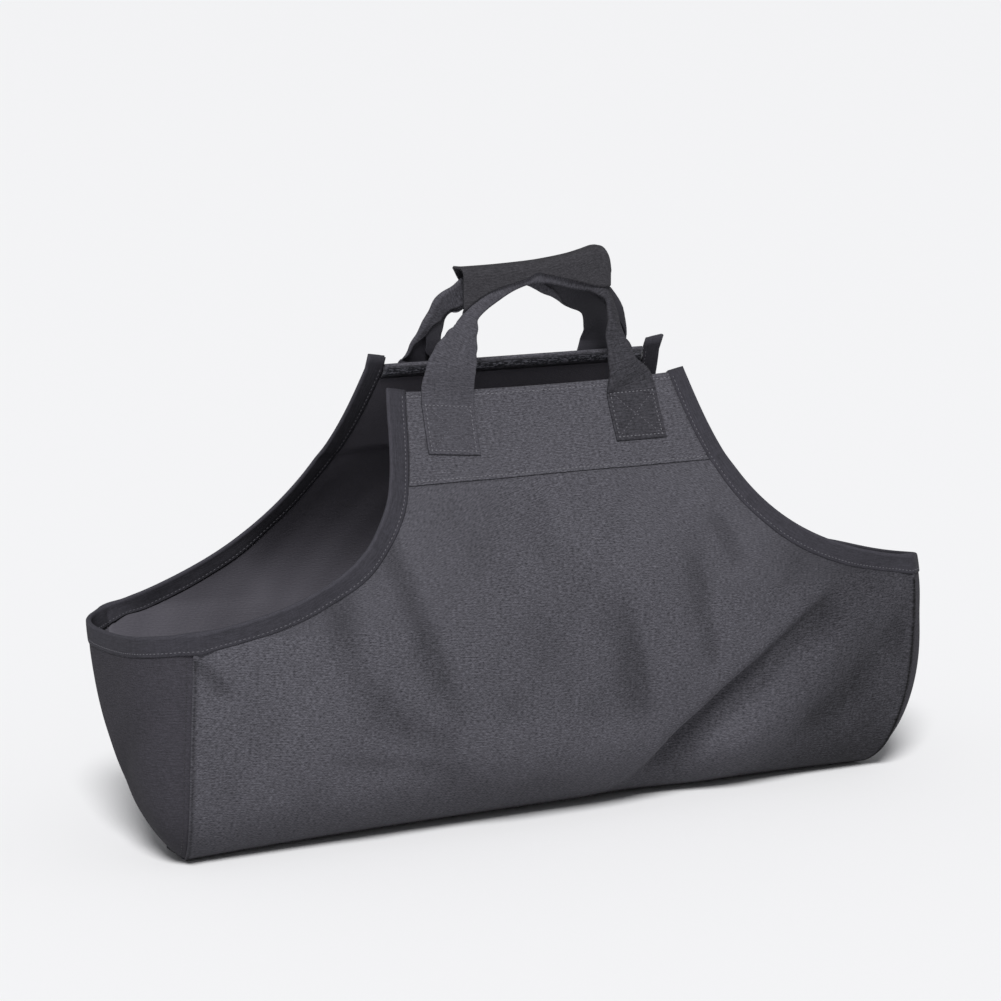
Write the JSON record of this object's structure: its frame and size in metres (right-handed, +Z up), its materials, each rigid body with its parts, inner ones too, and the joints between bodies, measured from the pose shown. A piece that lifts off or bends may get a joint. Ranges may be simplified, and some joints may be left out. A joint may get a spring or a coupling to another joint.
{
  "type": "log carrier",
  "caption": "Canvas log carrier with a long rounded body, open ends above bulged end panels, bound edges and two straps that meet in a folded grip wrap.",
  "frame": {"origin": "on the floor at the flat base, under the middle of the bag", "axes": "+X along the bag to the right, +Y from the front face to the back face, +Z up"},
  "size_m": [0.6645, 0.2168, 0.421],
  "materials": {
    "canvas": "matt woven canvas, dark coated inner side",
    "binding": "matt folded edge tape",
    "webbing": "matt doubled canvas strap",
    "grip": "matt soft wrap",
    "thread": "matt sewing thread, paler than the canvas"
  },
  "bodies": {
    "root": {"body_sheet": "canvas", "end_panel_left": "canvas", "end_panel_right": "canvas", "front_yoke": "canvas", "back_yoke": "canvas", "rim_tape_left": "binding", "rim_tape_right": "binding", "front_strap": "webbing", "back_strap": "webbing", "grip_wrap": "grip"}
  },
  "joints": []
}
